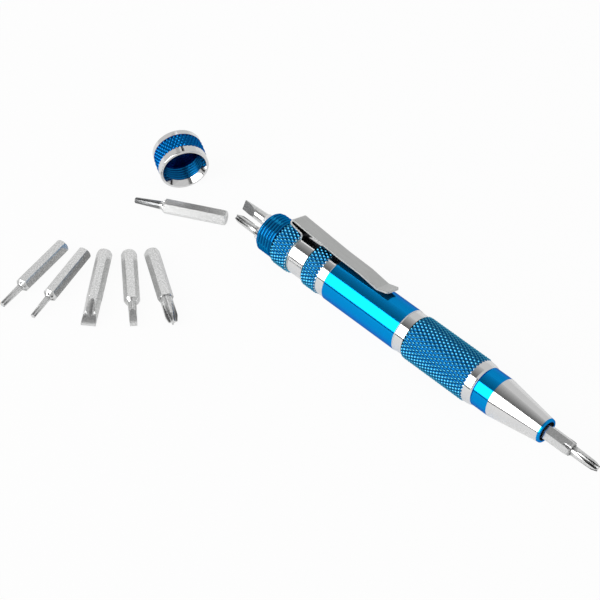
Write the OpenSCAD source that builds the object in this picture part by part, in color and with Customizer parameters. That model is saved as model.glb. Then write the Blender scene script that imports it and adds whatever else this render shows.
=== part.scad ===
// Pocket screwdriver with a storage barrel, a screw cap, a spring clip and nine hex-shank bits.
// The driver lies along X with its nose towards +X. The origin is on the axis at the cap's seat,
// where the tail thread ends.
// The cap is off, and the loose bits lie beside the driver on the same surface.

/* [Body diameters] */
// Diameter of the plain barrel
barrel_d = 13.2; // [12.8:0.1:14]
// Diameter over the knurled rings and the knurled grip
knurl_d = 13.7; // [13.4:0.1:15]
// Diameter of the bright neck that the clip stands over
neck_d = 12.4; // [12.2:0.1:13]
// Diameter of the bright bands beside the barrel
band_d = 12.8; // [12.4:0.1:13.2]
// Outer diameter of the tail thread
thread_d = 12.4; // [12.2:0.1:13]
// Diameter of the storage bore that holds the spare bits
store_d = 10; // [9.8:0.1:10.4]
// Diameter of the spigot that the clip ring sits on
spigot_d = 11.2; // [11:0.1:11.6]
// Diameter of the spigots that join the barrel to its neighbours
joint_d = 11.4; // [11.2:0.1:11.8]

/* [Body lengths] */
// Length of the tail thread
thread_len = 5.9; // [5:0.1:10]
// Length of the knurled ring beside the tail thread
rear_knurl_len = 6.7; // [6:0.1:10]
// Length of the bright neck
neck_len = 5.4; // [4.5:0.1:9]
// Length of the second knurled ring
collar_knurl_len = 5.8; // [4:0.1:10]
// Length of the bright band behind the barrel
collar_band_len = 2.8; // [1.5:0.1:5]
// Length of the plain barrel
barrel_len = 27.3; // [20:0.1:40]
// Length of the bright band behind the grip
grip_band_len = 3.1; // [1.5:0.1:5]
// Length of the knurled grip
grip_knurl_len = 22.7; // [15:0.1:35]
// Length of the bright rounded band in front of the grip
front_band_len = 2.7; // [1.5:0.1:5]
// How far each joint spigot goes in
joint_len = 4; // [2:0.1:6]
// How far the tail collar's spigot goes into the neck
spigot_len = 4; // [2:0.1:4.2]

/* [Nose] */
// Diameter of the short blue band
nose_band_d = 12; // [11:0.1:12.6]
// Length of the short blue band
nose_band_len = 5.6; // [3:0.1:10]
// Length of the bright cone
cone_len = 16.6; // [14:0.1:25]
// Diameter of the cone at the bit mouth
cone_tip_d = 7.4; // [7:0.1:10]
// Diameter of the lead-in at the bit mouth
mouth_d = 6; // [5:0.1:6.4]
// Depth of the lead-in at the bit mouth
mouth_depth = 1.6; // [0.8:0.1:3]
// How far the nose plugs into the grip
nose_plug_len = 6; // [3:0.1:10]
// Diameter of the magnet at the bottom of the socket
magnet_d = 3.8; // [2:0.1:4]
// Length of the magnet
magnet_len = 3; // [1:0.1:5]
// How far the hex socket and its bit are rolled round the axis
socket_angle = 15; // [0:1:60]

/* [Clip] */
// Thickness of the spring strip
clip_t = 0.6; // [0.4:0.05:0.7]
// Width of the spring strip
clip_w = 5.4; // [4:0.1:7]
// How far the clip is turned round the body from the top
clip_roll = 21; // [0:1:45]
// How far the fold stands back from the clip ring
clip_fold_back = 4.9; // [4:0.1:6]
// How far the top of the fold leans forward of its foot
clip_fold_lean = 0.8; // [0:0.1:1.5]
// Radius of the fold on the strip's middle line
clip_fold_r = 0.6; // [0.45:0.05:0.8]
// Radius of the gentle bends on the strip's middle line
clip_bend_r = 0.8; // [0.5:0.1:1.5]
// Rise of the leg from the knurled ring to the fold
clip_leg_rise = 0.95; // [0.5:0.05:1.5]
// Length of the strip from the fold to its first bend
clip_long_len = 19; // [17:0.1:24]
// Length of the level part of the strip
clip_level_len = 8.6; // [5:0.1:12]
// Length of the part that dips to the barrel
clip_dip_len = 6.8; // [4:0.1:10]
// Length of the turned-up lip
clip_lip_len = 3.8; // [2:0.1:6]
// Height of the lip above the touching bend
clip_lip_rise = 1; // [0.5:0.1:2]
// Fall of the strip over its dipping part
clip_dip_fall = 0.85; // [0.4:0.05:1.5]
// Fall of the strip over its level part
clip_level_fall = 0.25; // [0:0.05:0.8]
// Corner radius at the end of the lip
clip_corner_r = 0.8; // [0.3:0.1:2]

/* [Bits] */
// Size of the hex shank across its flats
bit_af = 4; // [3.8:0.05:4.1]
// Length of a bit
bit_len = 28; // [26:0.5:30]
// Length of the hex shank
bit_hex_len = 18.6; // [16:0.1:20]
// Length of the rounded end of the shank
bit_butt_len = 0.9; // [0.3:0.1:1.5]
// How far the fitted bit stands out of the nose
bit_out = 17.8; // [16:0.1:20]
// Shank diameters of the small, middle and large Phillips tips
phillips_small_d = 2.6; // [2:0.1:3.4]
phillips_middle_d = 2.9; // [2:0.1:3.4]
phillips_large_d = 3.6; // [2:0.1:3.8]
// Widths of the narrow, middle and wide slotted tips
slotted_narrow_w = 2.1; // [1.5:0.1:3.4]
slotted_middle_w = 3; // [1.5:0.1:3.4]
slotted_wide_w = 4.2; // [3.5:0.1:4.6]
// Thickness of the narrow, middle and wide slotted tips at the end
slotted_narrow_t = 0.4; // [0.2:0.05:0.8]
slotted_middle_t = 0.5; // [0.2:0.05:0.8]
slotted_wide_t = 0.7; // [0.2:0.05:1]
// Lengths ground away on the round slotted tips and on the wide one
slotted_round_grind_len = 5.6; // [4:0.1:7]
slotted_wide_grind_len = 4.2; // [3:0.1:6]
// Length of the round-ended hollow behind the wide slotted blade
slotted_scoop_len = 8.2; // [7:0.1:9]
// Point diameters of the small, middle and large star tips
star_small_d = 1.5; // [1.2:0.05:1.7]
star_middle_d = 1.75; // [1.2:0.05:2.4]
star_large_d = 1.75; // [1.2:0.05:2]
// Diameters of the same tips at the shank
star_small_neck_d = 1.7; // [1.6:0.05:3]
star_middle_neck_d = 2.5; // [1.8:0.05:3]
star_large_neck_d = 2; // [1.8:0.05:3]
// Length of the fluted part of a star tip
star_len = 5.2; // [3:0.1:7]

/* [Cap] */
// Diameter of the cap over its knurl
cap_d = 15.1; // [15:0.1:17]
// Diameter of the bright front ring
cap_ring_d = 14.7; // [14.4:0.1:15]
// Diameter of the cap's closed end
cap_end_d = 14.7; // [12:0.1:14.9]
// Diameter of the countersunk mouth
cap_mouth_d = 13.4; // [13:0.1:14]
// Length of the bright front ring
cap_ring_len = 2.3; // [1:0.1:4]
// Length of the knurled part of the cap
cap_knurl_len = 5.3; // [3:0.1:8]
// Length of the bright tapered end
cap_end_len = 2; // [1.2:0.1:3]
// Depth of the bright countersink at the cap's mouth
cap_lead_len = 1.7; // [0.5:0.1:3]
// Thickness of the cap's closed end
cap_floor_t = 2; // [1.2:0.1:3]
// Rounding of the edge of the closed end
cap_round_r = 0.5; // [0.3:0.1:1]

/* [Layout on the surface] */
// Distance of the cap's mouth behind the tail rim
cap_back = 34.8; // [32:0.1:45]
// Distance of the cap's mouth to the side of the driver's axis
cap_offset = 0.8; // [0:0.1:2]
// Heading of the cap's mouth
cap_angle = -28; // [-40:1:-10]
// Place of the loose bit's middle behind the rim and to the side
loose_back = 27.9; // [27:0.1:30]
loose_offset = 9.1; // [8:0.1:14]
// Heading of the loose bit's tip
loose_angle = -150.5; // [-155:0.5:-145]
// Place of the fan's centre behind the rim and to the side
fan_back = 47.3; // [40:0.1:60]
fan_offset = 11.9; // [8:0.1:30]
// Gap between the two closest bits of the fan at their inner ends
fan_gap = 0.8; // [0.4:0.1:5]
// Angles of the fan bits round the fan's centre
fan_large_star_angle = -79; // [-85:0.1:-78]
fan_small_star_angle = -68.3; // [-69:0.1:-66]
fan_wide_slotted_angle = -54.4; // [-57:0.1:-53]
fan_narrow_slotted_angle = -41.5; // [-44:0.1:-41]
fan_phillips_angle = -30; // [-31:0.1:-20]
// How far the inner ends of the fan bits lie outside the fan's ring
fan_large_star_out = 2.5; // [0:0.1:5]
fan_small_star_out = 2; // [0:0.1:5]
fan_wide_slotted_out = 0.6; // [0:0.1:5]
fan_narrow_slotted_out = 0.3; // [0:0.1:5]
fan_phillips_out = 0.8; // [0:0.1:5]
// Angles by which three of the fan bits lie askew
fan_small_star_lean_angle = -4.7; // [-6:0.1:4]
fan_wide_slotted_lean_angle = 2.9; // [-4:0.1:4]
fan_narrow_slotted_lean_angle = 2; // [-4:0.1:4]
// How far the stored slotted bit and the stored Phillips bit stand out of the tail
stored_slotted_out = 13; // [5:0.1:14]
stored_phillips_out = 11; // [5:0.1:13]
// How far the stored slotted bit is rolled round its axis
stored_slotted_angle = -60; // [-60:60:60]

/* [Clearances] */
// Gap round a screwed or plugged joint
joint_gap = 0.02; // [0.01:0.01:0.05]
// Gap round a bit in the hex socket
socket_gap = 0.05; // [0.03:0.01:0.1]
// Gap between the cap's thread and the tail thread
thread_gap = 0.05; // [0.03:0.01:0.2]
// Gap under the clip at the knurl and at the touching bend
clip_gap = 0.08; // [0.05:0.01:0.2]
// Gap between the two stored bits
stored_gap = 0.32; // [0.2:0.02:0.5]
// Gap between the fitted bit and the magnet
magnet_gap = 0.1; // [0.05:0.01:0.3]
// Broken edges of the turned pieces
edge_break = 0.3; // [0.1:0.05:0.5]
// Rounded shoulders of the knurled rings
shoulder_r = 0.7; // [0.3:0.05:1]

/* [Hidden] */
$fn = 96;
hex_sides = 6;
overrun = bit_af;
blue = "#1470b4";
bright = "#d8dadb";
steel = "#b7b9ba";

// Radii
barrel_r = barrel_d / 2;
knurl_r = knurl_d / 2;
neck_r = neck_d / 2;
band_r = band_d / 2;
thread_r = thread_d / 2;
store_r = store_d / 2;
spigot_r = spigot_d / 2;
joint_r = joint_d / 2;
nose_band_r = nose_band_d / 2;
cone_tip_r = cone_tip_d / 2;
bit_corner_r = bit_af / 2 / cos(180 / hex_sides);

// Stations along the body
rim_x = -thread_len;
ring_x = rear_knurl_len;
neck_x = ring_x + clip_t;
collar_knurl_x = neck_x + neck_len;
collar_band_x = collar_knurl_x + collar_knurl_len;
barrel_x = collar_band_x + collar_band_len;
grip_x = barrel_x + barrel_len;
grip_knurl_x = grip_x + grip_band_len;
front_band_x = grip_knurl_x + grip_knurl_len;
nose_x = front_band_x + front_band_len;
cone_x = nose_x + nose_band_len;
nose_end_x = cone_x + cone_len;
floor_z = -knurl_r;

// Ring of the fan that the inner ends of the bits stay outside
fan_step_angle = min(
    fan_small_star_angle - fan_large_star_angle,
    fan_wide_slotted_angle - fan_small_star_angle,
    fan_narrow_slotted_angle - fan_wide_slotted_angle,
    fan_phillips_angle - fan_narrow_slotted_angle
);
fan_ring_r = (2 * bit_corner_r + fan_gap) / sin(fan_step_angle);

// Arc of points from angle a0 to a1 about a centre given as [radius, station]
arc_steps = 8;
function arc(centre, r, a0, a1) = [
    for (i = [0 : arc_steps])
        let (a = a0 + (a1 - a0) * i / arc_steps)
        centre + r * [cos(a), sin(a)]
];

// Solid of revolution about X from points given as [radius, station]
module turned(points) {
    rotate([0, 90, 0])
        rotate_extrude()
            polygon(points);
}

// Hex prism along X that stands on a flat
module hex_prism(af, x0, x1) {
    translate([x0, 0, 0])
        rotate([0, 90, 0])
            rotate([0, 0, 180 / hex_sides])
                cylinder(h = x1 - x0, r = af / 2 / cos(180 / hex_sides), $fn = hex_sides);
}

// Tail piece: male thread for the cap, knurled ring, and a spigot that clamps the clip ring
module thread_collar() {
    shoulder = knurl_r - thread_r;
    spigot_end = neck_x + spigot_len;
    color(blue)
        turned([
            [store_r, rim_x],
            [thread_r - edge_break, rim_x],
            [thread_r, rim_x + edge_break],
            [thread_r, 0],
            [knurl_r, shoulder],
            [knurl_r, ring_x - edge_break],
            [knurl_r - edge_break, ring_x],
            [spigot_r, ring_x],
            [spigot_r, spigot_end],
            [store_r, spigot_end],
        ]);
}

// Bright neck, knurled ring and bright band, bored for the collar's spigot
module rear_collar() {
    seat_end = neck_x + spigot_len + joint_gap;
    spigot_end = barrel_x + joint_len;
    color(blue)
        turned(concat(
            [
                [spigot_r + joint_gap, neck_x],
                [neck_r, neck_x],
                [neck_r, collar_knurl_x],
            ],
            arc([knurl_r - shoulder_r, collar_knurl_x + shoulder_r], shoulder_r, -90, 0),
            [
                [knurl_r, collar_band_x - edge_break],
                [band_r, collar_band_x],
                [band_r, barrel_x],
                [joint_r, barrel_x],
                [joint_r, spigot_end],
                [store_r, spigot_end],
                [store_r, seat_end],
                [spigot_r + joint_gap, seat_end],
            ]
        ));
}

// Plain barrel, counterbored at both ends
module barrel() {
    seat_r = joint_r + joint_gap;
    seat_len = joint_len + joint_gap;
    color(blue)
        turned([
            [seat_r, barrel_x],
            [barrel_r, barrel_x],
            [barrel_r, grip_x],
            [seat_r, grip_x],
            [seat_r, grip_x - seat_len],
            [store_r, grip_x - seat_len],
            [store_r, barrel_x + seat_len],
            [seat_r, barrel_x + seat_len],
        ]);
}

// Knurled grip with a bright band behind it and a bright rounded band in front
module grip() {
    spigot_start = grip_x - joint_len;
    front_fall = knurl_r - edge_break - nose_band_r;
    color(blue)
        turned(concat(
            [
                [store_r, spigot_start],
                [joint_r, spigot_start],
                [joint_r, grip_x],
                [band_r, grip_x],
                [band_r, grip_knurl_x],
            ],
            arc([knurl_r - shoulder_r, grip_knurl_x + shoulder_r], shoulder_r, -90, 0),
            [
                [knurl_r, front_band_x - edge_break],
                [knurl_r - edge_break, front_band_x],
            ],
            [
                for (i = [1 : arc_steps])
                    let (a = 90 * i / arc_steps)
                    [nose_band_r + front_fall * cos(a), front_band_x + front_band_len * sin(a)]
            ],
            [
                [store_r, nose_x],
            ]
        ));
}

// Short blue band and bright cone, with the hex socket and the magnet's seat
module nose() {
    plug_r = store_r - joint_gap;
    magnet_x = nose_end_x + bit_out - bit_len - magnet_gap;
    socket_front = nose_end_x - mouth_depth + overrun;
    color(blue)
        difference() {
            turned([
                [0, nose_x - nose_plug_len],
                [plug_r - edge_break, nose_x - nose_plug_len],
                [plug_r, nose_x - nose_plug_len + edge_break],
                [plug_r, nose_x],
                [nose_band_r - edge_break, nose_x],
                [nose_band_r, nose_x + edge_break],
                [nose_band_r, cone_x],
                [cone_tip_r, nose_end_x - edge_break],
                [cone_tip_r - edge_break, nose_end_x],
                [mouth_d / 2, nose_end_x],
                [mouth_d / 2, nose_end_x - mouth_depth],
                [0, nose_end_x - mouth_depth],
            ]);
            rotate([socket_angle, 0, 0])
                hex_prism(bit_af + 2 * socket_gap, magnet_x, socket_front);
            translate([magnet_x - magnet_len, 0, 0])
                rotate([0, 90, 0])
                    cylinder(h = magnet_len + overrun, d = magnet_d + 2 * joint_gap);
        }
}

// Disc magnet at the bottom of the hex socket
module socket_magnet() {
    magnet_x = nose_end_x + bit_out - bit_len - magnet_gap;
    color(steel)
        translate([magnet_x - magnet_len, 0, 0])
            rotate([0, 90, 0])
                cylinder(h = magnet_len, d = magnet_d);
}

// Clip: middle line of the bent strip as [station, height over the axis]
clip_ring_x = ring_x + clip_t / 2;
clip_leg_h = knurl_r + clip_gap + clip_t / 2;
clip_fold_x = ring_x - clip_fold_back;
clip_fold_low = clip_leg_h + clip_leg_rise;
clip_fold_high = clip_fold_low + 2 * clip_fold_r;
clip_start_x = clip_fold_x + clip_fold_lean;
clip_touch_h = barrel_r + clip_gap + clip_t / 2;
clip_level_x = clip_fold_x + clip_long_len;
clip_dip_x = clip_level_x + clip_level_len;
clip_touch_x = clip_dip_x + clip_dip_len;
clip_split_x = clip_start_x + 2 * clip_fold_r;
clip_dip_h = clip_touch_h + clip_dip_fall;
clip_level_h = clip_dip_h + clip_level_fall;
clip_split_share = (clip_split_x - clip_start_x) / (clip_level_x - clip_start_x);
clip_split = [clip_split_x, clip_fold_high + (clip_level_h - clip_fold_high) * clip_split_share];
clip_foot_line = [
    [clip_ring_x, spigot_r],
    [clip_ring_x, clip_leg_h],
    [clip_fold_x, clip_fold_low],
    [clip_start_x, clip_fold_high],
    clip_split,
];
clip_arm_line = [
    clip_split,
    [clip_level_x, clip_level_h],
    [clip_dip_x, clip_dip_h],
    [clip_touch_x, clip_touch_h],
    [clip_touch_x + clip_lip_len, clip_touch_h + clip_lip_rise],
];
clip_foot_bends = [clip_fold_r, clip_fold_r, clip_fold_r];
clip_arm_bends = [clip_bend_r, clip_bend_r, clip_bend_r];

function unit(v) = v / norm(v);
function left_of(v) = [-v[1], v[0]];
function spun(v, a) = [v[0] * cos(a) - v[1] * sin(a), v[0] * sin(a) + v[1] * cos(a)];

// Points beside the bend at b, side to the left of the line a-b-c, with radius r on the middle line
function bend_points(a, b, c, r, side) =
    let (u = unit(b - a), v = unit(c - b))
    let (turn = atan2(u[0] * v[1] - u[1] * v[0], u * v))
    let (way = sign(turn))
    let (start = b - u * r * tan(abs(turn) / 2))
    let (centre = start + left_of(u) * way * r)
    [
        for (i = [0 : arc_steps])
            centre + spun(start + left_of(u) * side - centre, turn * i / arc_steps)
    ];

// One side of a bent strip from end to end
function strip_side(line, bends, side) =
    let (last = len(line) - 1)
    let (first_way = unit(line[1] - line[0]))
    let (last_way = unit(line[last] - line[last - 1]))
    concat(
        [line[0] + left_of(first_way) * side],
        [
            for (i = [1 : last - 1])
                each bend_points(line[i - 1], line[i], line[i + 1], bends[i - 1], side)
        ],
        [line[last] + left_of(last_way) * side]
    );

// Bent spring strip of the clip's width, standing over the body at the clip's roll
module strip(line, bends) {
    left = strip_side(line, bends, clip_t / 2);
    right = strip_side(line, bends, -clip_t / 2);
    count = len(right);
    rotate([-clip_roll, 0, 0])
        rotate([90, 0, 0])
            linear_extrude(height = clip_w, center = true)
                polygon(concat(left, [for (i = [1 : count]) right[count - i]]));
}

// Clip ring under the knurled ring, its leg and the fold
module clip_foot() {
    color(steel)
        difference() {
            union() {
                translate([ring_x, 0, 0])
                    rotate([0, 90, 0])
                        cylinder(h = clip_t, r = neck_r);
                strip(clip_foot_line, clip_foot_bends);
            }
            translate([ring_x - overrun, 0, 0])
                rotate([0, 90, 0])
                    cylinder(h = 2 * overrun, r = spigot_r + joint_gap);
        }
}

// Long spring strip of the clip with rounded lip corners
module clip_arm() {
    lip_end = clip_touch_x + clip_lip_len;
    corner_x = lip_end - clip_corner_r;
    side_y = clip_w / 2;
    color(steel)
        difference() {
            strip(clip_arm_line, clip_arm_bends);
            rotate([-clip_roll, 0, 0])
                for (way = [-1, 1])
                    scale([1, way, 1])
                        translate([corner_x, side_y - clip_corner_r, 0])
                            linear_extrude(height = knurl_d)
                                difference() {
                                    square(overrun);
                                    circle(r = clip_corner_r);
                                }
        }
}

// Bit body: hex shank with a rounded butt, turned down to a round tip blank of the given points
module bit_blank(points) {
    butt_r = bit_corner_r - bit_butt_len;
    intersection() {
        hex_prism(bit_af, 0, bit_len);
        turned(concat(
            [[0, 0]],
            arc([butt_r, bit_butt_len], bit_butt_len, -90, 0),
            [[bit_corner_r, bit_hex_len]],
            points,
            [[0, bit_len]]
        ));
    }
}

// Phillips bit: four round flutes between four wings, on a cone point, running out towards the shank
phillips_point_share = 0.34;
phillips_cone_share = 0.6;
phillips_core_share = 0.16;
phillips_flute_share = 0.82;
phillips_round_share = 0.25;
module phillips_bit(shank_d) {
    shank_r = shank_d / 2;
    neck_end = bit_hex_len + bit_corner_r - shank_r;
    cone_start = bit_len - shank_d * phillips_cone_share;
    flute_len = (bit_len - neck_end) * phillips_flute_share;
    core_r = shank_d * phillips_core_share;
    flute_tilt = atan((shank_r - core_r) / flute_len);
    flute_r = shank_d * phillips_round_share;
    color(steel)
        difference() {
            bit_blank([
                [shank_r, neck_end],
                [shank_r, cone_start],
                [shank_d * phillips_point_share, bit_len],
            ]);
            for (k = [0 : 3])
                rotate([45 + 90 * k, 0, 0])
                    translate([bit_len, 0, core_r + flute_r])
                        rotate([0, -90 + flute_tilt, 0])
                            translate([0, 0, -overrun])
                                cylinder(h = flute_len + 2 * overrun, r = flute_r);
        }
}

// Slotted bit: shank hollow-ground from both sides to a straight blade
slotted_neck_share = 1.2;
module slotted_bit(blade_w, blade_t, grind_len) {
    blade_r = min(blade_w / 2, bit_corner_r);
    neck_r = min(blade_r * slotted_neck_share, (blade_r + bit_corner_r) / 2);
    neck_end = bit_hex_len + bit_corner_r - neck_r;
    depth = min(neck_r, bit_af / 2) - blade_t / 2;
    grind_r = (grind_len * grind_len + depth * depth) / (2 * depth);
    color(steel)
        difference() {
            bit_blank([
                [neck_r, neck_end],
                [blade_r, bit_len],
            ]);
            for (way = [-1, 1])
                translate([bit_len, 0, way * (blade_t / 2 + grind_r)])
                    rotate([90, 0, 0])
                        cylinder(h = 2 * bit_af, r = grind_r, center = true);
        }
}

// Cutters that scoop a round-ended hollow into both flats behind a blade
slotted_scoop_share = 0.36;
module blade_scoops(blade_w, blade_t, scoop_len) {
    scoop_r = blade_w * slotted_scoop_share;
    scoop_tilt = atan((bit_af - blade_t) / 2 / scoop_len);
    for (turn = [0, 180])
        rotate([turn, 0, 0])
            translate([bit_len, 0, blade_t / 2 + scoop_r])
                rotate([0, -90 + scoop_tilt, 0])
                    translate([0, 0, -overrun])
                        cylinder(h = scoop_len + 2 * overrun, r = scoop_r);
}

// Star bit: slim shank tapered to a point with six round flutes that run out towards the shank
star_lobes = 6;
star_flute_share = 0.2;
star_depth_share = 0.14;
star_edge_share = 0.08;
module star_bit(point_d, neck_d) {
    point_r = point_d / 2;
    neck_r = neck_d / 2;
    neck_end = bit_hex_len + bit_corner_r - neck_r;
    edge = point_d * star_edge_share;
    depth = point_d * star_depth_share;
    flute_r = point_d * star_flute_share;
    widening = (neck_r - point_r) * star_len / (bit_len - neck_end);
    flute_tilt = atan((depth + widening) / star_len);
    color(steel)
        difference() {
            bit_blank([
                [neck_r, neck_end],
                [point_r, bit_len - edge],
                [point_r - edge, bit_len],
            ]);
            for (k = [0 : star_lobes - 1])
                rotate([360 * k / star_lobes, 0, 0])
                    translate([bit_len, 0, point_r - depth + flute_r])
                        rotate([0, -90 + flute_tilt, 0])
                            translate([0, 0, -overrun])
                                cylinder(h = star_len + 2 * overrun, r = flute_r);
        }
}

// Screw cap about X with its mouth at x = 0, facing +X
module cap_shell() {
    cap_len = cap_ring_len + cap_knurl_len + cap_end_len;
    cap_r = cap_d / 2;
    ring_r = cap_ring_d / 2;
    round_r = cap_end_d / 2 - cap_round_r;
    hole_r = thread_r + thread_gap;
    knurl_back = -cap_ring_len - cap_knurl_len;
    turned(concat(
        [[0, -cap_len]],
        arc([round_r, cap_round_r - cap_len], cap_round_r, -90, 0),
        [
            [ring_r, knurl_back],
            [cap_r - edge_break, knurl_back],
            [cap_r, knurl_back + edge_break],
            [cap_r, -cap_ring_len - edge_break],
            [cap_r - edge_break, -cap_ring_len],
            [ring_r, -cap_ring_len],
        ],
        arc([ring_r - edge_break, -edge_break], edge_break, 0, 90),
        [
            [cap_mouth_d / 2, 0],
            [hole_r, -cap_lead_len],
            [hole_r, cap_floor_t - cap_len],
            [0, cap_floor_t - cap_len],
        ]
    ));
}

module tail_cap() {
    color(blue)
        translate([rim_x - cap_back, -cap_offset, floor_z + cap_d / 2])
            rotate([0, 0, cap_angle])
                cap_shell();
}

// Places a bit of the fan flat on the surface, its tip outwards
module fanned(angle, out, lean_angle) {
    translate([rim_x - fan_back, -fan_offset, floor_z + bit_af / 2])
        rotate([0, 0, angle])
            translate([fan_ring_r + out + bit_len / 2, 0, 0])
                rotate([0, 0, lean_angle])
                    translate([-bit_len / 2, 0, 0])
                        children();
}

// Places a bit in the storage bore, tip outwards, beside its neighbour
module stored(out, way, roll_angle) {
    side = bit_corner_r + stored_gap / 2;
    reach = store_r - bit_corner_r - stored_gap / 2;
    drop = sqrt(max(0, pow(reach, 2) - pow(side, 2)));
    translate([rim_x - out, way * side, -drop])
        rotate([0, 0, 180])
            translate([-bit_len, 0, 0])
                rotate([roll_angle, 0, 0])
                    children();
}

module nose_bit() {
    translate([nose_end_x + bit_out - bit_len, 0, 0])
        rotate([socket_angle + 360 / hex_sides, 0, 0])
            phillips_bit(phillips_middle_d);
}

module stored_slotted_bit() {
    stored(stored_slotted_out, 1, stored_slotted_angle)
        slotted_bit(slotted_middle_w, slotted_middle_t, slotted_round_grind_len);
}

module stored_phillips_bit() {
    stored(stored_phillips_out, -1, 0)
        phillips_bit(phillips_small_d);
}

module loose_star_bit() {
    translate([rim_x - loose_back, -loose_offset, floor_z + bit_af / 2])
        rotate([0, 0, loose_angle])
            translate([-bit_len / 2, 0, 0])
                star_bit(star_middle_d, star_middle_neck_d);
}

module fan_large_star_bit() {
    fanned(fan_large_star_angle, fan_large_star_out, 0)
        star_bit(star_large_d, star_large_neck_d);
}

module fan_small_star_bit() {
    fanned(fan_small_star_angle, fan_small_star_out, fan_small_star_lean_angle)
        star_bit(star_small_d, star_small_neck_d);
}

module fan_wide_slotted_bit() {
    fanned(fan_wide_slotted_angle, fan_wide_slotted_out, fan_wide_slotted_lean_angle)
        difference() {
            slotted_bit(slotted_wide_w, slotted_wide_t, slotted_wide_grind_len);
            blade_scoops(slotted_wide_w, slotted_wide_t, slotted_scoop_len);
        }
}

module fan_narrow_slotted_bit() {
    fanned(fan_narrow_slotted_angle, fan_narrow_slotted_out, fan_narrow_slotted_lean_angle)
        slotted_bit(slotted_narrow_w, slotted_narrow_t, slotted_round_grind_len);
}

module fan_phillips_bit() {
    fanned(fan_phillips_angle, fan_phillips_out, 0)
        phillips_bit(phillips_large_d);
}

tail_cap();
thread_collar();
clip_foot();
clip_arm();
rear_collar();
barrel();
grip();
nose();
socket_magnet();
nose_bit();
stored_slotted_bit();
stored_phillips_bit();
loose_star_bit();
fan_large_star_bit();
fan_small_star_bit();
fan_wide_slotted_bit();
fan_narrow_slotted_bit();
fan_phillips_bit();
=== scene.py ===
import math

import bpy
from mathutils import Matrix, Vector


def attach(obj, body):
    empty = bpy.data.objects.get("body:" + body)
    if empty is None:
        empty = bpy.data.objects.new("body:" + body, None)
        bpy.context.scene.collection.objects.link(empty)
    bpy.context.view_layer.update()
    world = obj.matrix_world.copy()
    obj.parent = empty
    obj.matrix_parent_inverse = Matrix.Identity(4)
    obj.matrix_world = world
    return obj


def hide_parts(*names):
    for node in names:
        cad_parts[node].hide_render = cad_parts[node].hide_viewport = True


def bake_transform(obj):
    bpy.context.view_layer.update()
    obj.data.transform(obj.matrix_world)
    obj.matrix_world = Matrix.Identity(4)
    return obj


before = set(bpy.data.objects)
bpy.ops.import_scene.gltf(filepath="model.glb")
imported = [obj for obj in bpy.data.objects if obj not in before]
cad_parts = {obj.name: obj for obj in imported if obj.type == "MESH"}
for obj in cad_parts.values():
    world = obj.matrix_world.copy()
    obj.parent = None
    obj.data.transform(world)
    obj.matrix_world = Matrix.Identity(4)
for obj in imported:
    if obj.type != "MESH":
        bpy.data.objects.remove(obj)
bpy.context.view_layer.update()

# Pocket screwdriver: the turned pieces and the clip are modelled here in place of their solids,
# and the bits keep their solids and get their finishes. Lengths are in millimetres, and only the
# studio's are in metres.

MM = 0.001
PER_MM = 1 / MM

# Radii, lengths and gaps of the driver, as in the part's source
KNURL_R, BARREL_R, BAND_R, NECK_R = 6.85, 6.6, 6.4, 6.2
THREAD_R, STORE_R, SPIGOT_R, JOINT_R = 6.2, 5.0, 5.6, 5.7
NOSE_BAND_R, CONE_TIP_R, MOUTH_R, SHOULDER_R = 6.0, 3.7, 3.0, 0.7
THREAD_LEN, REAR_KNURL_LEN, CLIP_T, NECK_LEN = 5.9, 6.7, 0.6, 5.4
COLLAR_KNURL_LEN, COLLAR_BAND_LEN, BARREL_LEN = 5.8, 2.8, 27.3
GRIP_BAND_LEN, GRIP_KNURL_LEN, FRONT_BAND_LEN = 3.1, 22.7, 2.7
NOSE_BAND_LEN, CONE_LEN, NOSE_PLUG_LEN, MOUTH_DEPTH = 5.6, 16.6, 6.0, 1.6
JOINT_LEN, SPIGOT_LEN, EDGE = 4.0, 4.0, 0.3
JOINT_GAP, SOCKET_GAP, MAGNET_GAP, CLIP_GAP = 0.02, 0.05, 0.1, 0.08
BIT_AF, BIT_LEN, BIT_OUT = 4.0, 28.0, 17.8
SOCKET_ROLL, BLADE_ROLL = math.radians(15), math.radians(-60)

# Stations along the driver, and the surface that it lies on
RIM_X, RING_X = -THREAD_LEN, REAR_KNURL_LEN
NECK_X = RING_X + CLIP_T
COLLAR_KNURL_X = NECK_X + NECK_LEN
COLLAR_BAND_X = COLLAR_KNURL_X + COLLAR_KNURL_LEN
BARREL_X = COLLAR_BAND_X + COLLAR_BAND_LEN
GRIP_X = BARREL_X + BARREL_LEN
GRIP_KNURL_X = GRIP_X + GRIP_BAND_LEN
FRONT_BAND_X = GRIP_KNURL_X + GRIP_KNURL_LEN
NOSE_X = FRONT_BAND_X + FRONT_BAND_LEN
CONE_X = NOSE_X + NOSE_BAND_LEN
NOSE_END_X = CONE_X + CONE_LEN
SPIGOT_END_X = NECK_X + SPIGOT_LEN
REAR_JOINT_X, FRONT_JOINT_X = BARREL_X + JOINT_LEN, GRIP_X - JOINT_LEN
FLOOR_Z = -KNURL_R

# Rolled diamond knurl, its grooves 30 degrees to the axis, and the cut thread
KNURL_AROUND, CAP_KNURL_AROUND, KNURL_PITCH, KNURL_DEPTH = 36, 40, 2.03, 0.5
KNURL_STEEPNESS = 2.3
THREAD_PITCH, THREAD_DEPTH, CAP_THREAD_DEPTH = 1.0, 0.5, 0.55

# Fineness of the meshes: points round a piece, rows to a pitch, and steps of a bend or rounding.
# Knurl rows stand closer over the last stretch, where the cutter turns the crests off.
TURNED_STEPS, BARREL_STEPS, THREAD_STEPS, SOCKET_STEPS = 144, 192, 96, 48
PITCH_STEPS, ARC_STEPS, BEND_STEPS, BAND_STEPS = 8, 8, 10, 12
CUT_ZONE, CUT_FINENESS = 0.8, 3
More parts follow.
